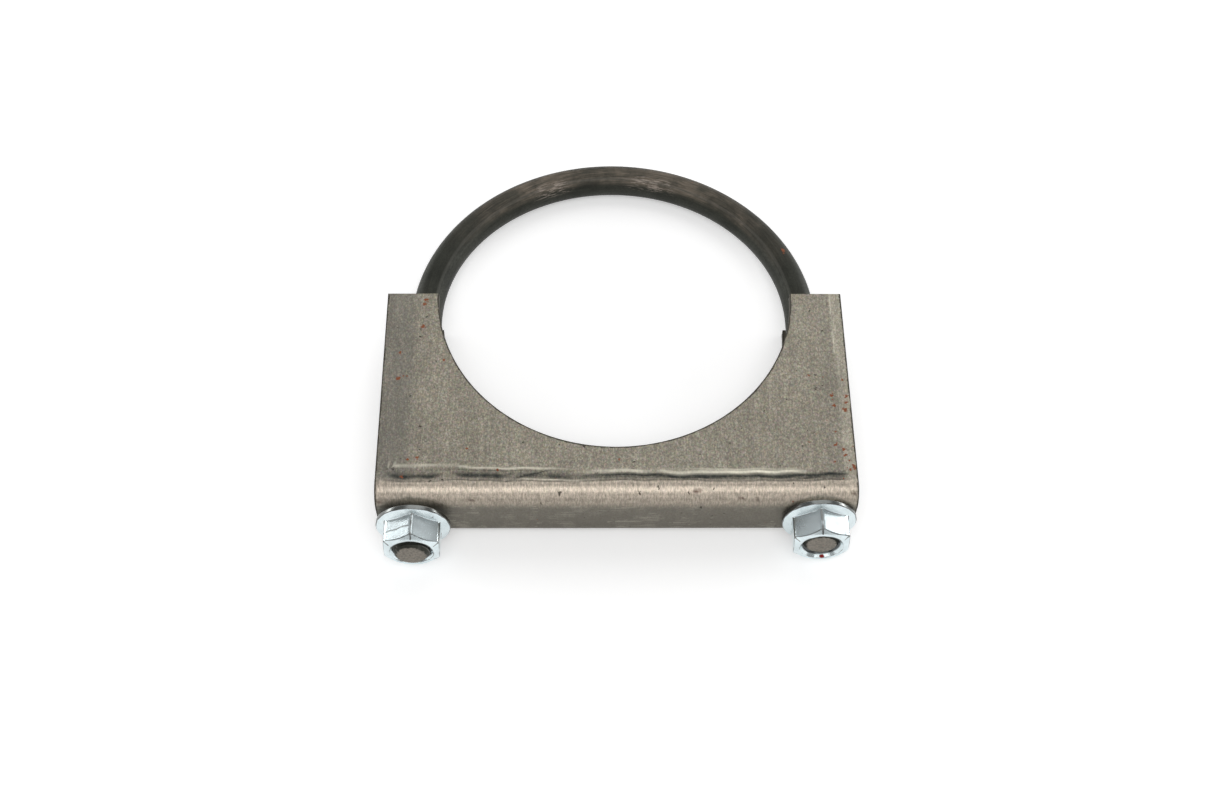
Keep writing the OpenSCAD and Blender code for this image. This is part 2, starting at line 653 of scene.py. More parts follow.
@dataclass(frozen=True)
class Canvas:
    """A finish in the making: its graph, the shared effects, the place in the unbent metal, the shader."""

    graph: Graph
    effects: SharedEffects
    place: Socket
    shader: bpy.types.Node

    def tone(self, scale: float, contrast: float) -> Socket:
        """Large soft patches that are a little lighter or darker."""
        return self.graph.group(self.effects.tone, place=self.place, scale=scale, contrast=contrast)

    def grain(self, stretch: tuple[float, float, float], contrast: float) -> Socket:
        """Fine streaks, as many in a metre each way as the stretch says."""
        return self.graph.group(self.effects.grain, place=self.place, stretch=stretch, contrast=contrast)

    def specks(self, scale: float, size: float, share: Any) -> Socket:
        """Scattered small spots."""
        group = self.effects.specks
        return self.graph.group(group, place=self.place, scale=scale, size=size, share=share)

    def mark(self, name: str) -> Socket:
        """The number that a piece holds at each vertex under a name."""
        return self.graph.add("ShaderNodeAttribute", attribute_name=name).outputs["Fac"]

    def edge_wear_and_shade(self, scale: float) -> Socket:
        """The piece's edges, marked more in some places than in others: wear on the bolt, painted shade on
        the saddle and the nuts.
        """
        group = self.effects.edge_wear_and_shade
        return self.graph.group(group, edge=self.mark("edge"), place=self.place, scale=scale)

    def dress(self, body: Socket, rough: Socket, height: Socket, depth: float) -> None:
        """Gives the shader its colour, its roughness and its fine relief.

        Args:
            body: The colour.
            rough: The roughness.
            height: The relief, about 0 to 1.
            depth: How deep the relief is, in metres.
        """
        relief = self.graph.add("ShaderNodeBump", {"Strength": 1.0, "Distance": depth, "Height": height})
        self.graph.feed(self.shader.inputs["Base Color"], body)
        self.graph.feed(self.shader.inputs["Roughness"], rough)
        self.graph.feed(self.shader.inputs["Normal"], relief.outputs[0])


@dataclass(frozen=True)
class Steel:
    """What all three finishes share: a name, how much of it is metal, and its gloss where it is not."""

    name: str
    metallic: float
    gloss: float = 0.5

    def start(self, attribute: str, effects: SharedEffects) -> tuple[bpy.types.Material, Canvas]:
        """Starts the material.

        Args:
            attribute: The vertex attribute that holds each point's place in the unbent metal.
            effects: The shared groups.

        Returns:
            The material, and the canvas for its finish.
        """
        material = bpy.data.materials.new(self.name)
        material.use_nodes = True
        material.node_tree.nodes.clear()
        graph = Graph(material.node_tree)
        inputs = {"Metallic": self.metallic, "Specular IOR Level": self.gloss}
        shader = graph.add("ShaderNodeBsdfPrincipled", inputs)
        graph.add("ShaderNodeOutputMaterial", {"Surface": shader.outputs[0]})
        place = graph.add("ShaderNodeAttribute", attribute_name=attribute).outputs["Vector"]
        return material, Canvas(graph, effects, place, shader)


@dataclass(frozen=True)
class SaddleSteel(Steel):
    """Bare rolled sheet: brown-grey and mottled, paler on the bend from burnish and a painted highlight,
    with rust specks, painted shade on the web, the cut edges and the furrow, and a painted highlight on the
    lip.
    """

    name: str = "bare_sheet_steel"
    metallic: float = 0.72
    dark: Colour = (0.112, 0.102, 0.081, 1.0)
    light: Colour = (0.610, 0.560, 0.450, 1.0)
    blue_dark: Colour = (0.120, 0.122, 0.120, 1.0)
    # The pale colour also paints the highlight along the lip.
    pale: Colour = (0.86, 0.82, 0.68, 1.0)
    # The bend's colour: partly burnish, partly a painted highlight.
    burnish_and_highlight: Colour = (0.74, 0.63, 0.52, 1.0)
    rust: Colour = (0.22, 0.058, 0.018, 1.0)
    pit: Colour = (0.030, 0.024, 0.018, 1.0)
    # The cut colour is painted shade for the cut edges and the line beside them.
    cut: Colour = (0.035, 0.030, 0.022, 1.0)
    # The furrow colour is painted shade in the press's furrow.
    furrow: Colour = (0.030, 0.034, 0.030, 1.0)
    dent: Colour = (0.060, 0.018, 0.010, 1.0)
    relief: float = 0.012 * MM
    spot_spread: float = 1.25
    # The larger rust spots of the upper flange, on the left and then on the right: X, Y and size in mm.
    rust_spots: tuple[tuple[float, float, float], ...] = (
        (-51.0, -2.0, 0.62), (-51.3, -3.5, 0.55), (-51.4, -10.8, 0.66), (-57.0, -19.0, 0.50),
        (-57.0, -27.0, 0.52), (-55.9, -26.3, 0.32), (-54.9, -26.1, 0.32), (-51.0, -50.6, 0.45),
        (-54.6, -55.9, 0.50),
        (60.2, -32.4, 0.45), (60.1, -34.3, 0.60), (59.7, -36.6, 0.66), (56.5, -32.0, 0.50),
        (57.0, -35.2, 0.52), (50.9, -26.0, 0.42), (58.3, -48.2, 0.50), (58.6, -49.9, 0.55),
        (56.4, -47.0, 0.50), (60.6, -53.4, 0.60),
    )

    def material(self, effects: SharedEffects, saddle: "Saddle") -> bpy.types.Material:
        """Builds the material.

        Args:
            effects: The shared groups.
            saddle: The saddle, for the places of its edges and of its bend.

        Returns:
            The material.
        """
        material, canvas = self.start("flat_place", effects)
        graph = canvas.graph
        u, s, _ = graph.split(canvas.place)
        fine = canvas.grain((2600.0, 700.0, 1500.0), 2.4)
        # The bend band also places the painted highlight of the bend.
        on_bend = graph.band(s, saddle.bend_middle + 0.5 * MM, 1.4 * MM, 2.6 * MM)
        body = self.rolled(canvas, fine)
        body = self.side_bands(canvas, saddle, u, body)
        body = self.bend_burnish_and_highlight(canvas, fine, on_bend, body)
        body = self.die_colours(canvas, body)
        body = self.web_shade_and_scores(canvas, saddle, s, body)
        body, specks = self.rusted(canvas, saddle, u, s, body)
        pits = canvas.specks(640.0, 0.34, 0.08)
        body = graph.coat(body, self.pit, pits, 0.85)
        # Painted shade: the cut edges and a ragged line beside them are darkened with the cut colour.
        edge = graph.math("MAXIMUM", canvas.edge_wear_and_shade(300.0), self.rim(canvas, saddle, u, s))
        body = graph.coat(body, self.cut, edge, 0.90)
        dull = graph.math("MAXIMUM", specks, edge)
        rough = graph.math("MULTIPLY_ADD", fine, 0.14, 0.42)
        rough = graph.math("MULTIPLY_ADD", on_bend, -0.10, rough)
        rough = graph.math("MAXIMUM", rough, graph.times(dull, 0.85))
        metal = graph.math("MULTIPLY_ADD", dull, -self.metallic, self.metallic)
        graph.feed(canvas.shader.inputs["Metallic"], metal)
        sunk = graph.math("MULTIPLY_ADD", pits, -1.5, fine)
        canvas.dress(body, rough, graph.math("ADD", sunk, graph.times(specks, 0.8)), self.relief)
        return material

    def rolled(self, canvas: Canvas, fine: Socket) -> Socket:
        """The bare sheet, mottled and streaked as it left the mill.

        Args:
            canvas: The finish in the making.
            fine: The sheet's fine grain.

        Returns:
            The colour.
        """
        graph = canvas.graph
        tone = canvas.tone(95.0, 2.2)
        streak = canvas.grain((900.0, 60.0, 400.0), 2.0)
        grit = canvas.grain((2300.0, 1900.0, 1900.0), 3.2)
        speckle = graph.add("ShaderNodeTexNoise", {"Vector": canvas.place, "Scale": 1700.0, "Detail": 2.0})
        body = graph.mix(graph.math("MULTIPLY_ADD", tone, 0.34, 0.36), self.dark, self.light)
        body = graph.coat(body, self.light, fine, 0.88)
        body = graph.coat(body, self.dark, streak, 0.34)
        body = graph.coat(body, self.dark, grit, 0.60)
        return graph.mix(0.22, body, speckle.outputs["Color"], "OVERLAY")

    def side_bands(self, canvas: Canvas, saddle: "Saddle", u: Socket, body: Socket) -> Socket:
        """Darker and paler bands that run down beside the sheet's two sides.

        Args:
            canvas: The finish in the making.
            saddle: The saddle, for its width.
            u: The place along the sheet's width.
            body: The colour so far.

        Returns:
            The colour with the bands.
        """
        graph = canvas.graph
        half = saddle.half_width
        wander = graph.math("MULTIPLY_ADD", graph.noise(canvas.place, 60.0, 3.0), 5.0 * MM, -2.5 * MM)
        across = graph.math("ADD", u, wander)
        left_band = graph.band(across, -half + 2.0 * MM, 4.0 * MM, 4.5 * MM)
        inner_band = graph.band(across, half - 5.0 * MM, 1.0 * MM, 1.8 * MM)
        right_strip = graph.band(graph.math("MULTIPLY_ADD", wander, 0.15, u), half, 2.6 * MM, 0.7 * MM)
        strip_line = graph.band(u, half - 3.1 * MM, 0.08 * MM, 0.22 * MM)
        line_strength = graph.remap(wander, 0.0, 0.6 * MM, 0.05, 0.45)
        body = graph.coat(body, self.blue_dark, left_band, 0.40)
        body = graph.coat(body, self.blue_dark, inner_band, 0.12)
        body = graph.coat(body, self.pale, right_strip, 0.14)
        return graph.coat(body, self.pale, strip_line, line_strength)

    def bend_burnish_and_highlight(self, canvas: Canvas, fine: Socket, on_bend: Socket, body: Socket) -> Socket:
        """Brightens the bend along the grain, partly burnish and partly a painted highlight, and then dots
        the whole sheet.

        Args:
            canvas: The finish in the making.
            fine: The sheet's fine grain.
            on_bend: Where the bend was burnished.
            body: The colour so far.

        Returns:
            The colour with the bright bend.
        """
        graph = canvas.graph
        shine = graph.times(on_bend, graph.math("MULTIPLY_ADD", fine, 0.60, 0.35))
        dots = canvas.grain((2700.0, 1500.0, 1900.0), 4.5)
        return graph.coat(graph.mix(shine, body, self.burnish_and_highlight), self.dark, dots, 0.42)

    def die_colours(self, canvas: Canvas, body: Socket) -> Socket:
        """Paints shade into the press's furrow, colours its dents dark, and paints a highlight on its lip.

        Args:
            canvas: The finish in the making.
            body: The colour so far.

        Returns:
            The colour with the marks.
        """
        graph = canvas.graph
        uneven = graph.math("MULTIPLY_ADD", graph.noise(canvas.place, 700.0, 3.0, 0.7), 1.4, 0.3)
        # Painted shade in the furrow and under the lip.
        body = graph.coat(body, self.furrow, graph.times(canvas.mark("furrow"), uneven), 0.92)
        # Painted highlight along the lip.
        body = graph.coat(body, self.pale, graph.times(canvas.mark("lip"), uneven), 0.95)
        return graph.coat(body, self.dent, canvas.mark("dent"), 0.90)

    def web_shade_and_scores(self, canvas: Canvas, saddle: "Saddle", s: Socket, body: Socket) -> Socket:
        """Darkens the web with painted shade, deeper towards its lower edge, and scores it with fine lines.

        Args:
            canvas: The finish in the making.
            saddle: The saddle, for the places of its bends.
            s: The place across the sheet, 0 at the middle of the web.
            body: The colour so far.

        Returns:
            The colour with the marks.
        """
        graph = canvas.graph
        # Painted shade over the web, deeper towards its lower edge.
        on_web = graph.remap(s, saddle.web_half + 4.4 * MM, saddle.web_half - 1.0 * MM)
        down = graph.remap(s, saddle.web_half, -saddle.web_half - 4.0 * MM, 0.78, 0.95)
        body = graph.coat(body, self.dark, on_web, down)
        fine_line = canvas.grain((130.0, 8000.0, 400.0), 5.0)
        scored = canvas.tone(170.0, 4.0)
        lines = graph.times(graph.remap(fine_line, 0.85, 1.0), graph.remap(scored, 0.55, 1.0))
        return graph.coat(body, self.pale, graph.times(lines, on_web), 0.24)

    def rusted(
        self, canvas: Canvas, saddle: "Saddle", u: Socket, s: Socket, body: Socket
    ) -> tuple[Socket, Socket]:
        """Scatters rust specks, thickest down the lower half of the right edge, and sets the larger spots.

        Args:
            canvas: The finish in the making.
            saddle: The saddle, for the places of its edges.
            u: The place along the sheet's width.
            s: The place across the sheet.
            body: The colour so far.

        Returns:
            The colour with the rust, and a mask of the rust.
        """
        graph = canvas.graph
        at_edge = graph.band(u, saddle.half_width - 3.2 * MM, 2.4 * MM, 2.5 * MM)
        low_down = graph.band(s, saddle.bend_end + 16.0 * MM, 13.0 * MM, 5.0 * MM)
        crowded = graph.times(at_edge, low_down)
        specks = canvas.specks(1000.0, 0.55, graph.math("MULTIPLY_ADD", crowded, 0.16, 0.004))
        ragged = graph.ragged(canvas.place, 1400.0, 1.6 * MM)
        for numbers in self.rust_spots:
            across, forward, size = (number * MM for number in numbers)
            centre = (across, forward - saddle.bend_line + saddle.bend_end, saddle.sheet / 2.0)
            size = self.spot_spread * size
            spot = graph.group(canvas.effects.spot, place=ragged, centre=centre, size=size)
            specks = graph.math("MAXIMUM", specks, spot)
        return graph.coat(body, self.rust, specks, 0.95), specks

    def rim(self, canvas: Canvas, saddle: "Saddle", u: Socket, s: Socket) -> Socket:
        """A line of painted shade on the faces, beside the cut edges.

        Args:
            canvas: The finish in the making.
            saddle: The saddle, for the places of its edges.
            u: The place along the sheet's width.
            s: The place across the sheet.

        Returns:
            The line's mask.
        """
        graph = canvas.graph
        width = graph.math(
            "MULTIPLY_ADD", graph.noise(canvas.place, 420.0, 3.0, 0.7), 0.90 * MM, -0.15 * MM
        )
        seat_level = saddle.bend_end - saddle.bend_line
        inward = graph.math("SUBTRACT", graph.math("ABSOLUTE", s), seat_level)
        spot = graph.add("ShaderNodeCombineXYZ", {0: u, 1: inward}).outputs[0]
        out = graph.add("ShaderNodeVectorMath", {0: spot}, operation="LENGTH").outputs["Value"]
        from_seat = graph.math("SUBTRACT", out, saddle.seat_radius)
        from_side = graph.math("SUBTRACT", saddle.half_width, graph.math("ABSOLUTE", u))
        nearest = graph.math("MINIMUM", from_seat, from_side)
        return graph.remap(graph.math("SUBTRACT", nearest, width), 0.15 * MM, 0.0)


@dataclass(frozen=True)
class RodSteel(Steel):
    """Dark rod with mill scale: green-grey, worn brown and painted lighter over the top of the bow, with
    pale scuffs, a painted dark rim along the bow's outer flank and a painted highlight line.
    """

    name: str = "mill_scale_rod"
    metallic: float = 0.30
    gloss: float = 0.22
    # The dark scale colour also paints the dark reflection on the bow's outer flank.
    scale_dark_and_shade: Colour = (0.011, 0.012, 0.009, 1.0)
    scale_light: Colour = (0.055, 0.057, 0.045, 1.0)
    # Lighter brown on the bow's top: partly wear, partly painted light.
    wear_and_top_light: Colour = (0.186, 0.154, 0.120, 1.0)
    scuff: Colour = (0.52, 0.44, 0.38, 1.0)
    torn: Colour = (0.28, 0.25, 0.21, 1.0)
    rust: Colour = (0.34, 0.10, 0.04, 1.0)
    # The bright colour paints the highlight line, the faint inner line and the worn thread crests.
    bright: Colour = (0.26, 0.25, 0.23, 1.0)
    relief: float = 0.010 * MM
    left_scuffs: float = -19.0 * MM
    right_scuffs: float = 12.0 * MM
    rusty: float = 25.0 * MM

    def material(self, effects: SharedEffects, bolt: "UBolt") -> bpy.types.Material:
        """Builds the material.

        Args:
            effects: The shared groups.
            bolt: The bolt, for its sizes.

        Returns:
            The material.
        """
        material, canvas = self.start("rod_place", effects)
        graph = canvas.graph
        radius = bolt.rod_radius
        along, outward, upward = graph.split(canvas.place)
        streak = canvas.grain((90.0, 1100.0, 1100.0), 2.2)
        grit = canvas.grain((1600.0, 1900.0, 1900.0), 2.0)
        tone = canvas.tone(120.0, 2.0)
        body = graph.mix(graph.math("MULTIPLY_ADD", tone, 0.5, 0.1), self.scale_dark_and_shade, self.scale_light)
        body = graph.coat(body, self.scale_light, streak, 0.50)
        body = graph.coat(body, self.scale_dark_and_shade, grit, 0.45)
        near_crown = graph.band(along, 4.0 * MM, 26.0 * MM, 40.0 * MM)
        patchy = graph.math("MULTIPLY_ADD", canvas.tone(140.0, 3.0), 0.45, 0.20)
        drawn = canvas.grain((170.0, 2400.0, 2400.0), 2.6)
        patchy = graph.times(patchy, graph.math("MULTIPLY_ADD", drawn, 1.1, 0.45))
        # The top of the bow near the crown is painted lighter: partly wear, partly painted light on the side
        # that faces up and out.
        on_top = graph.remap(graph.math("MULTIPLY_ADD", outward, 0.45, upward), 0.0, 0.50 * radius)
        wear_and_top_light = graph.times(graph.times(on_top, near_crown), patchy)
        body = graph.mix(wear_and_top_light, body, self.wear_and_top_light)
        body = graph.coat(body, self.scuff, self.scuffs(canvas, radius), 0.55)
        # Painted dark reflection along the bow's outer flank near the crown.
        painted_dark_rim = graph.times(graph.remap(outward, 0.42 * radius, 0.75 * radius), near_crown)
        body = graph.coat(body, self.scale_dark_and_shade, painted_dark_rim, 0.80)
        # The outer bright line is a painted highlight.
        highlight_line, inner_line = self.bright_lines(canvas, radius)
        body = graph.coat(body, self.bright, highlight_line, patchy)
        body = graph.coat(body, self.bright, inner_line, 0.10)
        rusty = graph.band(along, self.rusty, 3.0 * MM, 7.0 * MM)
        specks = canvas.specks(330.0, 0.34, graph.math("MULTIPLY_ADD", rusty, 0.28, 0.035))
        body = graph.coat(body, self.rust, specks, 0.6)
        body = graph.coat(body, self.bright, canvas.edge_wear_and_shade(500.0), 0.55)
        torn = graph.math("MULTIPLY_ADD", grit, 0.7, 0.3)
        body = graph.coat(body, self.torn, canvas.mark("face"), torn)
        rough = graph.math("MULTIPLY_ADD", grit, 0.16, 0.44)
        rough = graph.math("MULTIPLY_ADD", wear_and_top_light, 0.10, rough)
        canvas.dress(body, rough, graph.math("ADD", grit, graph.times(streak, 0.8)), self.relief)
        return material

    def scuffs(self, canvas: Canvas, radius: float) -> Socket:
        """The two scuffed patches on the upper side of the bow, left and right of its crown.

        Args:
            canvas: The finish in the making.
            radius: The rod's radius.

        Returns:
            The mask of the scuffs.
        """
        graph = canvas.graph
        along, outward, upward = graph.split(canvas.place)
        scuff = canvas.grain((330.0, 2600.0, 2600.0), 2.6)
        left = graph.band(along, self.left_scuffs, 2.0 * MM, 6.0 * MM)
        right = graph.band(along, self.right_scuffs, 2.5 * MM, 7.0 * MM)
        scuffed = graph.math("MAXIMUM", left, right)
        on_upper = graph.remap(upward, 0.1 * radius, 0.4 * radius)
        facing = graph.band(outward, -0.62 * radius, 0.14 * radius, 0.36 * radius)
        scuffed = graph.times(scuffed, graph.times(on_upper, facing))
        return graph.times(graph.remap(scuff, 0.45, 0.95), scuffed)

    @staticmethod
    def bright_lines(canvas: Canvas, radius: float) -> tuple[Socket, Socket]:
        """Two bright lines along the rod: the outer one is a painted highlight, the inner one a faint pale
        line.

        Args:
            canvas: The finish in the making.
            radius: The rod's radius.

        Returns:
            The mask of the outer line, strongest towards the left leg, and that of the inner line.
        """
        graph = canvas.graph
        along, outward, upward = graph.split(canvas.place)
        on_upper = graph.remap(upward, 0.0, 1.0 * MM)
        slant = graph.math("SUBTRACT", outward, upward)
        outer = graph.times(graph.band(slant, 0.35 * radius, 0.1 * MM, 0.3 * MM), on_upper)
        outer = graph.times(outer, graph.remap(along, 5.0 * MM, -45.0 * MM, 0.05, 0.40))
        inner = graph.times(graph.band(outward, -0.55 * radius, 0.15 * MM, 0.35 * MM), on_upper)
        return outer, inner


@dataclass(frozen=True)
class ZincPlate(Steel):
    """Bright zinc with a cold tint, a little dirt on the flats, painted shade along the edges and creases,
    and painted shade deep in the thread.
    """

    name: str = "bright_zinc"
    metallic: float = 1.0
    bright: Colour = (0.74, 0.82, 0.84, 1.0)
    cloudy: Colour = (0.50, 0.58, 0.60, 1.0)
    # The dirt colour also paints the shade along the nut's edges.
    dirt_and_shade: Colour = (0.055, 0.045, 0.035, 1.0)
    # Painted shade deep in the nut's thread.
    bore_shade: Colour = (0.020, 0.018, 0.016, 1.0)
    red: Colour = (0.16, 0.008, 0.006, 1.0)
    red_spot: tuple[float, float, float] = (34.7 * MM, -0.4 * MM, 8.2 * MM)
    red_size: float = 0.75 * MM
    relief: float = 0.0025 * MM

    def material(self, effects: SharedEffects) -> bpy.types.Material:
        """Builds the material.

        Args:
            effects: The shared groups.

        Returns:
            The material.
        """
        material, canvas = self.start("nut_place", effects)
        graph = canvas.graph
        tone = canvas.tone(260.0, 2.0)
        grit = canvas.grain((1400.0, 1400.0, 500.0), 2.0)
        specks = canvas.specks(520.0, 0.34, 0.05)
        body = graph.mix(graph.times(tone, 0.5), self.bright, self.cloudy)
        body = graph.coat(body, self.cloudy, grit, 0.15)
        # Painted shade along the nut's creases, corners, flange rim and outer mouth.
        body = graph.coat(body, self.dirt_and_shade, canvas.edge_wear_and_shade(450.0), 0.80)
        body = graph.coat(body, self.dirt_and_shade, canvas.mark("stain"), 0.85)
        body = graph.coat(body, self.dirt_and_shade, specks, 0.75)
        # Painted shade deep in the bore.
        body = graph.coat(body, self.bore_shade, canvas.mark("bore"), 0.90)
        ragged = graph.ragged(canvas.place, 900.0, 1.0 * MM)
        red = graph.group(effects.spot, place=ragged, centre=self.red_spot, size=self.red_size)
        body = graph.mix(red, body, self.red)
        rough = graph.math("MULTIPLY_ADD", tone, 0.10, 0.18)
        rough = graph.math("MAXIMUM", rough, graph.times(specks, 0.7))
        canvas.dress(body, rough, graph.math("MULTIPLY_ADD", tone, 1.2, grit), self.relief)
        return material


# ---------------------------------------------------------------------------------------------------------
# Sub-assemblies


class DieMarks:
    """The furrow and the raised lip that the press left just above the bend, as soft lines along the width.

    The furrow runs the whole width, broken on the left. The lip stands above it on the right, where both
    dip together, and is only a faint line on the left.
    """

    def __init__(self, saddle: "Saddle", u: np.ndarray, s: np.ndarray) -> None:
        """Sets out the lines.

        Args:
            saddle: The saddle, for its sizes.
            u: Places along the width.
            s: Places across the sheet.
        """
        wave = 0.20 * np.sin(u / (7.3 * MM) + 0.4) + 0.15 * np.sin(u / (3.1 * MM) + 2.0)
        wave = (wave + 0.09 * np.sin(u / (1.37 * MM))) * MM
        self.u = u
        self.s = s
        self.level = s - saddle.bend_end - wave
        self.within = ease(np.abs(u), saddle.half_width - 2.0 * MM, saddle.half_width - 4.0 * MM)
        self.left = ease(u, -6.0 * MM, -22.0 * MM)
        self.right = ease(u, -14.0 * MM, 2.0 * MM)
        self.dip = 0.75 * MM * self.near(17.0 * MM, 4.5 * MM) + 0.35 * MM * self.near(39.0 * MM, 3.0 * MM)

    def line(self, height: float | np.ndarray, width: float | np.ndarray) -> np.ndarray:
        """A soft line along the width, at a height above the bend's end."""
        return np.exp(-((self.level - height) / width) ** 2)

    def near(self, place: float, reach: float) -> np.ndarray:
        """1 at a place along the width, falling off over a reach."""
        return np.exp(-((self.u - place) / reach) ** 2)

    def slanted(self, place: float, height: float, slope: float, width: float) -> np.ndarray:
        """A soft line that climbs along the width and passes a place at a height."""
        return self.line(height + slope * (self.u - place), width)

    def trough(self) -> np.ndarray:
        """The furrow itself, broken on the left and fainter on the right.

        Returns:
            How deep it is, from 0 to 1.
        """
        patches = np.sin(self.u / (2.9 * MM) + 0.6) + 0.7 * np.sin(self.u / (1.3 * MM))
        broken = 0.35 + 0.65 * ease(patches + 0.6 * np.sin(self.s / (0.5 * MM)), -1.1, 0.8)
        gap = 1.0 - self.near(-43.5 * MM, 1.5 * MM)
        left_half = self.line(1.50 * MM, 0.90 * MM) * self.left * broken * gap
        return left_half + 0.65 * self.line(1.10 * MM, 0.70 * MM) * (1.0 - self.left)

    def furrow(self) -> np.ndarray:
        """The furrow and the sunk lines beside it.

        Returns:
            How much there is at each point, from 0 to 1.
        """
        thick = self.near(20.0 * MM, 6.0 * MM) + self.near(42.0 * MM, 4.0 * MM)
        # The dark line under the lip, which the finish paints as shade.
        under_lip = self.line(1.80 * MM - self.dip, (0.30 + 0.28 * thick) * MM) * self.right
        crossing = self.slanted(-23.0 * MM, 1.6 * MM, 0.30, 0.22 * MM) * self.near(-22.0 * MM, 5.0 * MM)
        score = self.slanted(50.0 * MM, 1.2 * MM, 0.16, 0.20 * MM) * self.near(51.0 * MM, 4.5 * MM)
        second = 0.55 * self.line(3.05 * MM, 0.22 * MM) * self.near(-32.0 * MM, 14.0 * MM)
        foot = 0.55 * self.line(0.15 * MM, 0.20 * MM)
        total = self.trough() + under_lip + crossing + score + second + foot
        return np.clip(total, 0.0, 1.0) * self.within

    def lip(self) -> np.ndarray:
        """The lip and its fainter lines.

        Returns:
            How much there is at each point, from 0 to 1.
        """
        shine = 0.55 + 0.45 * self.near(36.0 * MM, 12.0 * MM) - 0.45 * self.near(9.0 * MM, 2.5 * MM)
        shine = shine * self.right * ease(self.u, 50.0 * MM, 44.0 * MM)
        ridge = self.line(2.70 * MM - self.dip, 0.46 * MM) * shine
        above = 0.45 * self.line(3.50 * MM - 0.6 * self.dip, 0.20 * MM) * self.near(30.0 * MM, 14.0 * MM)
        left_height = 3.65 * MM + 0.80 * MM * ease(self.u, -36.0 * MM, -48.0 * MM)
        left_line = 0.55 * self.line(left_height, 0.26 * MM) * self.left
        low_line = 0.45 * self.line(0.55 * MM, 0.20 * MM) * self.near(-16.0 * MM, 7.0 * MM)
        return np.clip(ridge + above + left_line + low_line, 0.0, 1.0) * self.within


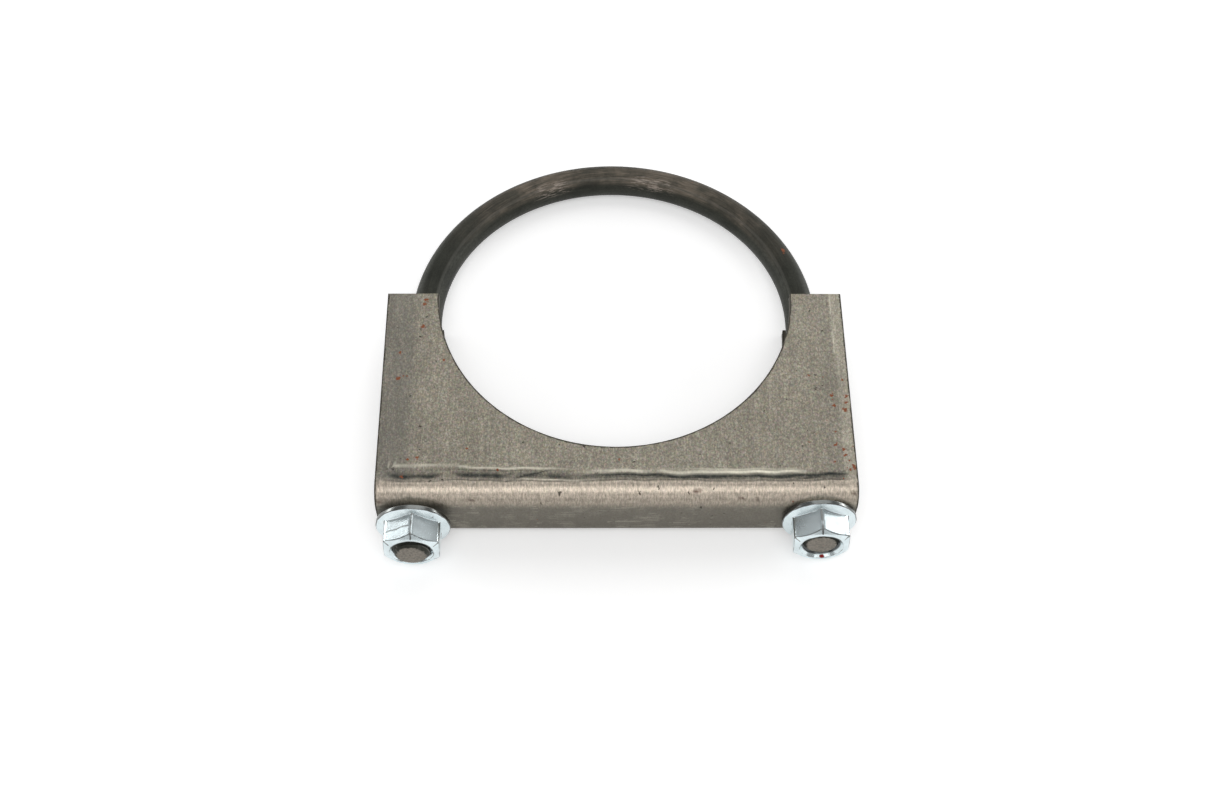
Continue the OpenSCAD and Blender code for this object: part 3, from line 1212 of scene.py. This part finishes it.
@dataclass
class Saddle:
    """The pressed channel that the tube sits in."""

    sheet: float = 2.7 * MM
    bend_radius: float = 5.2 * MM
    seat_radius: float = 47.6 * MM
    hole_radius: float = 5.55 * MM
    hole_gap: float = 104.1 * MM
    edge_round: float = 0.22 * MM
    edge_segments: int = 3
    edge_angle: float = 50.0
    punch_columns: int = 96
    arm_columns: int = 56
    seat_columns: int = 168
    border_rows: int = 24
    flange_rows: int = 28
    border_depth: float = 5.2 * MM
    bend_rows: int = 14
    web_rows: int = 16
    furrow_depth: float = 0.36 * MM
    lip_height: float = 0.28 * MM
    dent_depth: float = 0.16 * MM
    dent_slant: float = 0.18
    # The larger dents above the bend: place along the width, place across, length and width in mm.
    dents: tuple[tuple[float, float, float, float], ...] = (
        (20.4, 9.1, 1.25, 0.32), (31.5, 7.6, 0.75, 0.22), (35.6, 7.4, 0.50, 0.25),
        (59.8, 8.6, 0.60, 0.30), (-60.2, 6.9, 0.60, 0.35), (-37.0, 7.2, 0.90, 0.18),
    )
    warp: float = 0.10 * MM

    def __post_init__(self) -> None:
        """Takes the saddle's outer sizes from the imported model."""
        low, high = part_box("saddle")
        self.half_width = high.x
        self.front = low.y
        self.half_height = high.z
        self.middle_radius = self.bend_radius - self.sheet / 2.0
        self.web_half = self.half_height - self.bend_radius
        self.bend_end = self.web_half + self.middle_radius * math.pi / 2.0
        self.bend_middle = (self.web_half + self.bend_end) / 2.0
        self.bend_line = self.front + self.bend_radius

    def fan(self) -> tuple[np.ndarray, int, int]:
        """Rays from the seat's edge to the flange's outer border.

        Returns:
            The points by ray and row, as places in the row frame's X and Y, and the numbers of the first
            and last rays that end on the bend.
        """
        corner = math.atan2(-self.bend_line, self.half_width)
        left = np.linspace(math.pi, math.pi + corner, self.arm_columns, endpoint=False)
        middle = np.linspace(math.pi + corner, math.tau - corner, self.seat_columns, endpoint=False)
        right = np.linspace(math.tau - corner, math.tau, self.arm_columns + 1)
        angles = np.concatenate([left, middle, right])
        rays = np.stack([np.cos(angles), np.sin(angles)], axis=1)
        with np.errstate(divide="ignore"):
            to_side = self.half_width / np.abs(rays[:, 0])
            to_bend = -self.bend_line / np.abs(rays[:, 1])
        reach = np.minimum(to_side, to_bend)
        border = reach[:, None] - np.linspace(self.border_depth, 0.0, self.border_rows)
        share = np.linspace(0.0, 1.0, self.flange_rows, endpoint=False)
        inner = self.seat_radius + np.outer(border[:, 0] - self.seat_radius, share)
        distance = np.hstack([inner, border])
        first = self.arm_columns
        return distance[:, :, None] * rays[:, None, :], first, first + self.seat_columns

    def flat_plate(self) -> tuple[np.ndarray, np.ndarray]:
        """The cut blank as a flat plate of the sheet's thickness.

        Returns:
            The vertices, as (along the width, across the sheet, through the sheet), and the faces.
        """
        fan, first, last = self.fan()
        flange = np.dstack([fan[:, :, 0], fan[:, :, 1] - self.bend_line + self.bend_end])
        rays, rows = flange.shape[:2]
        upper = np.arange(rays * rows).reshape(rays, rows)
        lower = upper + rays * rows
        bend = np.linspace(self.bend_end, self.web_half, self.bend_rows, endpoint=False)
        web = np.linspace(self.web_half, -self.web_half, self.web_rows, endpoint=False)
        other_bend = np.linspace(-self.web_half, -self.bend_end, self.bend_rows + 1)
        across = np.concatenate([bend, web, other_bend])[1:-1]
        along = flange[first:last + 1, -1, 0]
        strip_u, strip_s = np.meshgrid(along, across)
        strip = np.arange(strip_u.size).reshape(strip_u.shape) + 2 * rays * rows
        band = np.vstack([upper[first:last + 1, -1], strip, lower[first:last + 1, -1]])
        points = np.concatenate([
            flange.reshape(-1, 2),
            flange.reshape(-1, 2) * (1.0, -1.0),
            np.stack([strip_u.ravel(), strip_s.ravel()], axis=1),
        ])
        quads = np.concatenate([quads_of(upper), quads_of(lower)[:, ::-1], quads_of(band)])
        return self.thicken(points, quads)

    def thicken(self, points: np.ndarray, quads: np.ndarray) -> tuple[np.ndarray, np.ndarray]:
        """Gives a flat sheet its thickness and closes it all round its border.

        Args:
            points: The sheet's vertices, along the width and across the sheet.
            quads: The sheet's faces.

        Returns:
            The vertices and the faces of the closed plate.
        """
        count = len(points)
        edges = np.concatenate([quads[:, [corner, (corner + 1) % 4]] for corner in range(4)])
        _, first, uses = np.unique(np.sort(edges, axis=1), axis=0, return_index=True, return_counts=True)
        border = edges[first[uses == 1]]
        rim = np.column_stack([border, border[:, ::-1] + count])
        faces = np.concatenate([quads, quads + count, rim])
        half = np.full((count, 1), self.sheet / 2.0)
        solid = np.concatenate([np.hstack([points, half]), np.hstack([points, -half])])
        return solid, faces

    def hole_cutter(self) -> bpy.types.Object:
        """Two round punches that stand through the web.

        Returns:
            Both punches as one object.
        """
        punches = bmesh.new()
        for side in Side:
            place = Matrix.Translation((side.value * self.hole_gap / 2.0, 0.0, 0.0))
            bmesh.ops.create_cone(
                punches, cap_ends=True, segments=self.punch_columns, radius1=self.hole_radius,
                radius2=self.hole_radius, depth=4.0 * self.sheet, matrix=place,
            )
        mesh = bpy.data.meshes.new("punches")
        punches.to_mesh(mesh)
        punches.free()
        cutter = bpy.data.objects.new("punches", mesh)
        bpy.context.scene.collection.objects.link(cutter)
        return cutter

    def cut_and_rounded(self, plate: bpy.types.Mesh) -> bpy.types.Mesh:
        """Punches the two holes and takes the sharpness off every cut edge.

        Args:
            plate: The flat plate.

        Returns:
            The finished flat blank.
        """
        blank = bpy.data.objects.new("blank", plate)
        bpy.context.scene.collection.objects.link(blank)
        cutter = self.hole_cutter()
        punch = blank.modifiers.new("punch", "BOOLEAN")
        punch.object = cutter
        punch.solver = "EXACT"
        rounding = blank.modifiers.new("rounding", "BEVEL")
        rounding.width = self.edge_round
        rounding.segments = self.edge_segments
        rounding.limit_method = "ANGLE"
        rounding.angle_limit = math.radians(self.edge_angle)
        depsgraph = bpy.context.evaluated_depsgraph_get()
        mesh = bpy.data.meshes.new_from_object(blank.evaluated_get(depsgraph), depsgraph=depsgraph)
        bpy.data.objects.remove(blank)
        bpy.data.objects.remove(cutter)
        return mesh

    def dent_marks(self, u: np.ndarray, s: np.ndarray) -> np.ndarray:
        """The dents above the bend.

        Args:
            u: Places along the width.
            s: Places across the sheet.

        Returns:
            How deep in a dent each point is, from 0 to 1.
        """
        marks = np.zeros(len(u))
        for numbers in self.dents:
            along, across, length, width = (number * MM for number in numbers)
            slant = s - across - self.dent_slant * (u - along)
            marks += np.exp(-(((u - along) / length) ** 4) - (slant / width) ** 2)
        return np.clip(marks, 0.0, 1.0)

    def cut_edges(self, mesh: bpy.types.Mesh, h: np.ndarray) -> np.ndarray:
        """Finds the cut edges.

        Args:
            mesh: The flat blank.
            h: How far each vertex lies from the sheet's middle.

        Returns:
            1 at each vertex on a cut edge or next to one, and 0 elsewhere.
        """
        on_cut = np.abs(h) < self.sheet / 2.0 - 1e-6
        pairs = np.empty(len(mesh.edges) * 2, dtype=np.int32)
        mesh.edges.foreach_get("vertices", pairs)
        pairs = pairs.reshape(-1, 2)
        beside = on_cut.copy()
        beside[pairs[on_cut[pairs].any(axis=1)]] = True
        return beside.astype(float)

    def bend(self, flat: np.ndarray) -> np.ndarray:
        """Bends the flat plate up into the channel.

        Args:
            flat: Points as (along the width, across the sheet, through the sheet).

        Returns:
            The same points in the row frame.
        """
        u, s, h = flat.T
        far = np.abs(s)
        angle = np.clip((far - self.web_half) / self.middle_radius, 0.0, math.pi / 2.0)
        beyond = np.maximum(far - self.bend_end, 0.0)
        web_middle = self.front + self.sheet / 2.0
        y = web_middle + self.middle_radius * (1.0 - np.cos(angle)) + beyond - h * np.cos(angle)
        z = np.minimum(far, self.web_half) + (self.middle_radius + h) * np.sin(angle)
        return np.stack([u, y, z * np.where(s < 0.0, -1.0, 1.0)], axis=1)

    def build(self, finish: bpy.types.Material) -> bpy.types.Object:
        """Builds the saddle.

        Args:
            finish: Its material.

        Returns:
            The finished piece.
        """
        points, faces = self.flat_plate()
        plate = bpy.data.meshes.new("plate")
        plate.from_pydata(points.tolist(), [], faces.tolist())
        turned = bmesh.new()
        turned.from_mesh(plate)
        bmesh.ops.recalc_face_normals(turned, faces=turned.faces)
        turned.to_mesh(plate)
        turned.free()
        mesh = self.cut_and_rounded(plate)
        mesh.name = "saddle_pressing"
        flat = points_of(mesh)
        u, s, h = flat.T
        die = DieMarks(self, u, s)
        furrow, lip = die.furrow(), die.lip()
        dents = self.dent_marks(u, s) * (h > 0.0)
        store_mark(mesh, "flat_place", flat)
        store_mark(mesh, "edge", self.cut_edges(mesh, h))
        store_mark(mesh, "dent", dents)
        store_mark(mesh, "furrow", furrow * (h > 0.0))
        store_mark(mesh, "lip", lip * (h > 0.0))
        on_outside = np.clip(0.5 + h / self.sheet, 0.0, 1.0)
        raised = self.lip_height * lip - self.furrow_depth * furrow - self.dent_depth * dents
        ripple = np.sin(u / (19.0 * MM) + 1.1) * np.sin(s / (23.0 * MM) + 0.4)
        lifted = h + raised * on_outside + self.warp * ripple
        mesh.vertices.foreach_set("co", self.bend(np.stack([u, s, lifted], axis=1)).ravel())
        mesh.update()
        shade(mesh, 35.0)
        mesh.materials.clear()
        mesh.materials.append(finish)
        return place_piece(mesh, "saddle", "saddle")


@dataclass
class UBolt:
    """The bent rod with a rolled thread on both legs."""

    rod_radius: float = 4.25 * MM
    crest_radius: float = 4.72 * MM
    root_radius: float = 3.92 * MM
    pitch: float = 25.4 / 16.0 * MM
    thread_length: float = 40.0 * MM
    runout: float = 1.6 * MM
    tip_radius: float = 3.82 * MM
    tip_slope: float = 1.1
    columns: int = 72
    bow_rings: int = 200
    plain_rings: int = 26
    rows_per_turn: int = 12
    face_rings: int = 10
    dome: float = 0.12 * MM
    roughness: float = 0.07 * MM

    def thread_values(self, start: float, end: float, finish: bpy.types.Material) -> dict[str, Any]:
        """The inputs that make one leg's thread from its run-out down to its chamfered tip.

        Args:
            start: How far down the leg the run-out starts.
            end: How far down the leg ends.
            finish: The bolt's material.

        Returns:
            A value for each of the tree's inputs, by name.
        """
        turns = (end - start) / self.pitch
        return {
            "Pitch": self.pitch,
            "Crest Radius": self.crest_radius,
            "Root Radius": self.root_radius,
            "Start": start,
            "End": end,
            "Plain Radius": self.rod_radius,
            "Runout": self.runout,
            "Tip Radius": self.tip_radius,
            "Tip Slope": self.tip_slope,
            "Mouth Radius": 0.0,
            "Turn": 0.0,
            "Columns": self.columns,
            "Rows": int(turns * self.rows_per_turn) + 1,
            "Material": finish,
        }

    def ring_angles(self) -> np.ndarray:
        """The angles of the rod's columns, from the outer side of the bow upwards."""
        return np.arange(self.columns) * math.tau / self.columns

    def add_bow(self, work: Patchwork, layout: Layout) -> None:
        """Adds the half circle between the two legs.

        Args:
            work: The mesh in the making.
            layout: Where the bolt lies.
        """
        swing = np.linspace(0.0, math.pi, self.bow_rings)[:, None]
        around = self.ring_angles()[None, :]
        outward = self.rod_radius * np.cos(around)
        upward = self.rod_radius * np.sin(around) + 0.0 * swing
        reach = layout.bow_radius + outward
        across = -reach * np.cos(swing)
        forward = reach * np.sin(swing)
        row = across[..., None] * np.array((1.0, 0.0, 0.0)) - forward[..., None] * np.array(layout.down)
        row = row + upward[..., None] * np.array(layout.up) + np.array(layout.bow_centre)
        along = (swing - math.pi / 2.0) * layout.bow_radius + 0.0 * around
        place = np.stack([along, outward + 0.0 * swing, upward], axis=-1)
        blank = np.zeros(along.shape)
        work.add_tube(row, {"rod_place": place, "edge": blank, "face": blank})

    def add_rings(
        self, work: Patchwork, layout: Layout, leg: Leg, levels: np.ndarray, radii: np.ndarray, face: float
    ) -> None:
        """Adds round rings on a leg.

        Args:
            work: The mesh in the making.
            layout: Where the bolt lies.
            leg: The leg.
            levels: How far down the leg each ring, or each point of each ring, lies.
            radii: Each ring's radius.
            face: 1 on the leg's end face, and 0 elsewhere.
        """
        around = self.ring_angles()[None, :]
        x = radii[:, None] * np.cos(around)
        y = radii[:, None] * np.sin(around)
        z = levels + 0.0 * x
        local = np.stack([x, y, z], axis=-1)
        marks = {
            "rod_place": self.unbent(local, layout, leg),
            "edge": np.zeros(x.shape),
            "face": np.full(x.shape, face),
        }
        work.add_tube(in_row_frame(local.reshape(-1, 3), leg.matrix).reshape(local.shape), marks)

    def unbent(self, local: np.ndarray, layout: Layout, leg: Leg) -> np.ndarray:
        """Turns points of a leg into places in the straight rod, measured from the crown of the bow.

        Args:
            local: Points in the leg's own frame.
            layout: Where the bolt lies.
            leg: The leg.

        Returns:
            The same points as (along the rod, outwards, upwards).
        """
        sign = leg.side.value
        along = sign * (math.pi / 2.0 * layout.bow_radius + local[..., 2])
        return np.stack([along, sign * local[..., 0], local[..., 1]], axis=-1)

    def add_leg(
        self, work: Patchwork, layout: Layout, leg: Leg, skin: bpy.types.NodeTree, finish: bpy.types.Material
    ) -> None:
        """Adds a leg: its plain part, its thread and its sheared end face.

        Args:
            work: The mesh in the making.
            layout: Where the bolt lies.
            leg: The leg.
            skin: The tree that makes threads.
            finish: The bolt's material.
        """
        start = leg.length - self.thread_length - self.runout
        plain = np.linspace(0.0, start, self.plain_rings)[:, None]
        self.add_rings(work, layout, leg, plain, np.full(self.plain_rings, self.rod_radius), 0.0)
        thread = run_tree(skin, self.thread_values(start, leg.length, finish))
        local = points_of(thread)
        radius = np.hypot(local[:, 0], local[:, 1])
        crest = ease(radius, self.crest_radius - 0.25 * MM, self.crest_radius)
        marks = {
            "rod_place": self.unbent(local, layout, leg),
            "edge": crest[:, None],
            "face": np.zeros((len(local), 1)),
        }
        work.add_mesh(thread, in_row_frame(local, leg.matrix), marks)
        radii, levels = self.end_face(leg)
        self.add_rings(work, layout, leg, levels, radii, 1.0)

    def end_face(self, leg: Leg) -> tuple[np.ndarray, np.ndarray]:
        """The torn face that the shears left at a leg's end.

        Args:
            leg: The leg.

        Returns:
            Each ring's radius, and the level of each of its points down the leg.
        """
        share = np.linspace(0.0, 1.0, self.face_rings)
        radii = self.tip_radius * (1.0 - share)
        around = self.ring_angles()[None, :]
        x = radii[:, None] * np.cos(around) / MM
        y = radii[:, None] * np.sin(around) / MM
        tilt = leg.side.value
        torn = np.sin(2.3 * x + tilt) * np.sin(1.9 * y + 0.5) + 0.5 * np.sin(4.1 * x - 3.3 * y + tilt)
        domed = self.dome * (1.0 - (1.0 - share[:, None]) ** 2)
        rough = self.roughness * torn * ease(share, 0.0, 0.3)[:, None]
        return radii, leg.length + domed + rough

    def build(
        self, layout: Layout, skin: bpy.types.NodeTree, finish: bpy.types.Material
    ) -> bpy.types.Object:
        """Builds the bolt.

        Args:
            layout: Where the bolt lies.
            skin: The tree that makes threads.
            finish: The bolt's material.

        Returns:
            The finished piece.
        """
        work = Patchwork()
        self.add_bow(work, layout)
        for leg in layout.legs.values():
            self.add_leg(work, layout, leg, skin, finish)
        mesh = work.sew("bent_bolt")
        shade(mesh, 40.0)
        mesh.materials.append(finish)
        return place_piece(mesh, "u_bolt", "bolt")


@dataclass
class FlangeNut:
    """A hexagon nut with a cone-shaped flange, threaded to fit the bolt."""

    side: Side
    turn: float
    across_flats: float = 14.2 * MM
    height: float = 8.5 * MM
    flange_radius: float = 9.55 * MM
    flange_rim: float = 1.2 * MM
    flange_slope: float = 24.0
    face_radius: float = 6.5 * MM
    face_slope: float = 30.0
    corner_radius: float = 8.08 * MM
    mouth_radius: float = 5.55 * MM
    play: float = 0.06 * MM
    pattern_shift: float = 40.0 * MM
    columns: int = 240
    rows_per_turn: int = 14

    @property
    def name(self) -> str:
        """The nut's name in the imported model."""
        return f"nut_{self.side.name.lower()}"

    def angles(self) -> np.ndarray:
        """The angles of the nut's columns, as one row."""
        return np.arange(self.columns)[None, :] * math.tau / self.columns

    @staticmethod
    def levels() -> np.ndarray:
        """The levels of the outer rings above the seat, closest where the shape turns."""
        spans = ((0.30, 0.80, 4), (0.85, 2.60, 36), (2.7, 7.3, 30), (7.36, 8.5, 26))
        return np.concatenate([np.linspace(*span) for span in spans])[:, None] * MM

    def outside(self) -> tuple[np.ndarray, np.ndarray]:
        """The flats, the cone over them and the flange under them.

        Returns:
            The radius at each outer ring and column, and how near an edge it is, from 0 to 1.
        """
        levels = self.levels()
        from_flat = np.mod(self.angles(), math.pi / 3.0) - math.pi / 6.0
        flats = self.across_flats / 2.0 / np.cos(from_flat)
        flats = smooth_min(flats, np.full_like(flats, self.corner_radius), 0.22 * MM)
        rise = (levels - self.flange_rim) / math.tan(math.radians(self.flange_slope))
        flange = smooth_min(np.full_like(rise, self.flange_radius), self.flange_radius - rise, 0.35 * MM)
        cone = self.face_radius + (self.height - levels) / math.tan(math.radians(self.face_slope))
        body = smooth_min(flats, cone, 0.28 * MM)
        radius = smooth_max(body, flange, 0.40 * MM)
        # crease, corner, rim and foot place the painted shade lines: the crease under the cone, the hex
        # corners, the shaded side of the flange rim and the fillet at its foot.
        crease = np.exp(-((flats - cone) / (0.16 * MM)) ** 2)
        corner = np.exp(-((math.pi / 6.0 - np.abs(from_flat)) / 0.035) ** 2) * (body > flange + 0.1 * MM)
        rim = ease(levels, 1.38 * MM, 1.18 * MM) * (radius > self.flange_radius - 0.5 * MM)
        foot = 0.7 * np.exp(-((body - flange) / (0.14 * MM)) ** 2)
        return radius, np.clip(crease + corner + rim + foot, 0.0, 1.0)

    def profile(self) -> tuple[np.ndarray, np.ndarray, np.ndarray]:
        """The nut's surface, from the mouth in its seat face out and over to its outer mouth.

        Returns:
            The radius and the level above the seat at each ring and column, and how near an edge it is.
        """
        mouth = self.mouth_radius / MM
        seat = np.array([mouth, 6.6, 8.0, 9.1, 9.36, 9.50])[:, None] * MM
        seat_level = np.array([0.0, 0.0, 0.0, 0.0, 0.05, 0.15])[:, None] * MM
        top = np.array([6.38, 6.1, 5.85, 5.62, mouth])[:, None] * MM
        # top_edge places a painted shade ring where the chamfer meets the mouth.
        top_edge = np.array([0.0, 0.0, 0.0, 0.7, 0.9])[:, None]
        row = np.ones((1, self.columns))
        outside, edge = self.outside()
        radius = np.concatenate([seat * row, outside, top * row])
        top_level = np.full((len(top), 1), self.height)
        level = np.concatenate([seat_level, self.levels(), top_level]) * row
        return radius, level, np.concatenate([0.0 * seat * row, edge, top_edge * row])

    def stain(self, own: np.ndarray) -> np.ndarray:
        """The line of dirt that crosses one flat of the left nut.

        Args:
            own: Points in the nut's own frame.

        Returns:
            How much dirt there is at each point, from 0 to 1.
        """
        x, y, z = np.moveaxis(own, -1, 0)
        wander = 0.12 * MM * np.sin(y / (0.5 * MM)) + 0.08 * y
        line = np.exp(-((z - 4.9 * MM - wander) / (0.20 * MM)) ** 2)
        on_flat = ease(y, 0.3 * MM, 1.0 * MM) * (x > 3.4 * MM) * (x < 9.0 * MM)
        return line * on_flat * (self.side is Side.LEFT)

    def thread_values(
        self, bolt: UBolt, start: float, turn: float, finish: bpy.types.Material
    ) -> dict[str, Any]:
        """The inputs that make the nut's bore.

        Args:
            bolt: The bolt, whose thread it fits.
            start: How far down the leg the bore starts.
            turn: How far the nut is turned about the leg, in radians.
            finish: The nut's material.

        Returns:
            A value for each of the tree's inputs, by name.
        """
        return {
            "Pitch": bolt.pitch,
            "Crest Radius": bolt.crest_radius + self.play,
            "Root Radius": bolt.root_radius + self.play,
            "Start": start,
            "End": start + self.height,
            "Plain Radius": 0.0,
            "Runout": 0.01 * MM,
            "Tip Radius": 1.0,
            "Tip Slope": 0.0,
            "Mouth Radius": self.mouth_radius,
            "Turn": turn,
            "Columns": self.columns,
            "Rows": int(self.height / bolt.pitch * self.rows_per_turn) + 1,
            "Material": finish,
        }

    def build(
        self, layout: Layout, bolt: UBolt, skin: bpy.types.NodeTree, finish: bpy.types.Material
    ) -> bpy.types.Object:
        """Builds the nut.

        Args:
            layout: Where the legs and nuts lie.
            bolt: The bolt, whose thread it fits.
            skin: The tree that makes threads.
            finish: The nut's material.

        Returns:
            The finished piece.
        """
        leg = layout.legs[self.side]
        seat = float(layout.levels(self.name, self.side, leg.matrix.translation).min())
        vertex_up = math.pi / 2.0 - math.radians(self.turn)
        placed = leg.matrix @ Matrix.Rotation(vertex_up, 4, "Z")
        work = Patchwork()
        radius, level, near = self.profile()
        angles = self.angles()
        own = np.stack([radius * np.cos(angles), radius * np.sin(angles), level], axis=-1)
        local = own + np.array((0.0, 0.0, seat))
        row = in_row_frame(local.reshape(-1, 3), placed).reshape(local.shape)
        aside = np.array((self.side.value * self.pattern_shift, 0.0, 0.0))
        marks = {
            "nut_place": own + aside,
            "edge": near,
            "bore": np.zeros(level.shape),
            "stain": self.stain(own),
        }
        work.add_tube(row, marks)
        thread = run_tree(skin, self.thread_values(bolt, seat, vertex_up, finish))
        local = points_of(thread)
        own = local - np.array((0.0, 0.0, seat))
        bore = ease(np.hypot(local[:, 0], local[:, 1]), bolt.crest_radius + 0.28 * MM, bolt.crest_radius)
        blank = np.zeros((len(own), 1))
        marks = {"nut_place": own + aside, "edge": blank, "bore": bore[:, None], "stain": blank}
        work.add_mesh(thread, in_row_frame(local, placed), marks)
        mesh = work.sew(f"{self.side.name.lower()}_flange_nut")
        shade(mesh, 38.0)
        mesh.materials.append(finish)
        return place_piece(mesh, self.name, f"{self.side.name.lower()}_nut")


# ---------------------------------------------------------------------------------------------------------
# Studio


@dataclass(frozen=True)
class Lamp:
    """A soft light with a flat rectangular face, turned towards the clamp."""

    name: str
    place: tuple[float, float, float]
    width: float
    height: float
    brightness: float

    @property
    def power(self) -> float:
        """The power that gives the face its brightness."""
        return self.brightness * math.pi * self.width * self.height


@dataclass(frozen=True)
class Studio:
    """A pale floor, soft lights on both sides, and the camera."""

    camera_place: tuple[float, float, float] = (-0.0091, -0.2496, 0.3718)
    heading: float = 0.0313
    tilt: float = 1.0348
    roll: float = 0.0267
    lens: float = 47.86
    sensor: float = 36.0
    floor_size: float = 6.0
    floor_tone: Colour = (0.90, 0.90, 0.90, 1.0)
    floor_glow: float = 0.36
    floor_roughness: float = 0.9
    sky: Colour = (1.0, 1.0, 1.0, 1.0)
    sky_strength: float = 0.34
    lamps: tuple[Lamp, ...] = (
        Lamp("left_strip", (-0.95, 0.34, 0.19), 0.90, 0.24, 6.0),
        Lamp("right_strip", (0.95, 0.34, 0.19), 0.90, 0.24, 7.5),
        Lamp("front_softbox", (0.0, -0.45, 0.90), 0.60, 0.50, 2.8),
        Lamp("low_front_strip", (0.0, -1.00, 0.44), 1.10, 0.22, 1.6),
        Lamp("back_softbox", (0.10, 0.55, 0.80), 0.90, 0.70, 1.15),
    )

    def set_camera(self) -> None:
        """Places the camera and makes it the scene's own."""
        forward = Vector((
            math.sin(self.heading) * math.cos(self.tilt),
            math.cos(self.heading) * math.cos(self.tilt),
            -math.sin(self.tilt),
        ))
        level = Vector((math.cos(self.heading), -math.sin(self.heading), 0.0))
        upright = level.cross(forward)
        right = level * math.cos(self.roll) + upright * math.sin(self.roll)
        up = upright * math.cos(self.roll) - level * math.sin(self.roll)
        data = bpy.data.cameras.new("camera")
        data.lens = self.lens
        data.sensor_width = self.sensor
        camera = bpy.data.objects.new("camera", data)
        axes = Matrix((right, up, -forward)).transposed().to_4x4()
        camera.matrix_world = Matrix.Translation(self.camera_place) @ axes
        bpy.context.scene.collection.objects.link(camera)
        bpy.context.scene.camera = camera

    def set_lamps(self) -> None:
        """Hangs the soft lights, each turned towards the clamp."""
        for lamp in self.lamps:
            data = bpy.data.lights.new(lamp.name, "AREA")
            data.shape = "RECTANGLE"
            data.size = lamp.width
            data.size_y = lamp.height
            data.energy = lamp.power
            light = bpy.data.objects.new(lamp.name, data)
            light.location = lamp.place
            light.rotation_euler = (-Vector(lamp.place)).to_track_quat("-Z", "Y").to_euler()
            bpy.context.scene.collection.objects.link(light)

    def set_floor(self, level: float) -> None:
        """Lays the floor.

        Args:
            level: The floor's height.
        """
        half = self.floor_size / 2.0
        mesh = bpy.data.meshes.new("floor")
        corners = [(-half, -half, level), (half, -half, level), (half, half, level), (-half, half, level)]
        mesh.from_pydata(corners, [], [(0, 1, 2, 3)])
        material = bpy.data.materials.new("floor_paper")
        material.use_nodes = True
        shader = material.node_tree.nodes["Principled BSDF"]
        shader.inputs["Base Color"].default_value = self.floor_tone
        shader.inputs["Roughness"].default_value = self.floor_roughness
        shader.inputs["Emission Color"].default_value = self.sky
        shader.inputs["Emission Strength"].default_value = self.floor_glow
        mesh.materials.append(material)
        floor = bpy.data.objects.new("floor", mesh)
        bpy.context.scene.collection.objects.link(floor)

    def set_sky(self) -> None:
        """Lights everything evenly from all round."""
        world = bpy.data.worlds.new("sky")
        world.use_nodes = True
        background = world.node_tree.nodes["Background"]
        background.inputs["Color"].default_value = self.sky
        background.inputs["Strength"].default_value = self.sky_strength
        bpy.context.scene.world = world

    def build(self, floor_level: float) -> None:
        """Sets up the whole studio.

        Args:
            floor_level: The floor's height.
        """
        self.set_camera()
        self.set_lamps()
        self.set_floor(floor_level)
        self.set_sky()
        bpy.context.scene.view_settings.view_transform = "Standard"


def main() -> None:
    """Builds the clamp and its studio."""
    logging.basicConfig(level=logging.INFO, format="%(message)s")
    bolt = UBolt()
    saddle = Saddle()
    layout = Layout(bolt.rod_radius)
    effects = SharedEffects()
    skin = make_thread_skin()
    saddle.build(SaddleSteel().material(effects, saddle))
    bolt.build(layout, skin, RodSteel().material(effects, bolt))
    zinc = ZincPlate().material(effects)
    for side, turn in NUT_TURNS.items():
        FlangeNut(side, turn).build(layout, bolt, skin, zinc)
    Studio().build(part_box("saddle")[0].z)


if __name__ == "__main__":
    main()
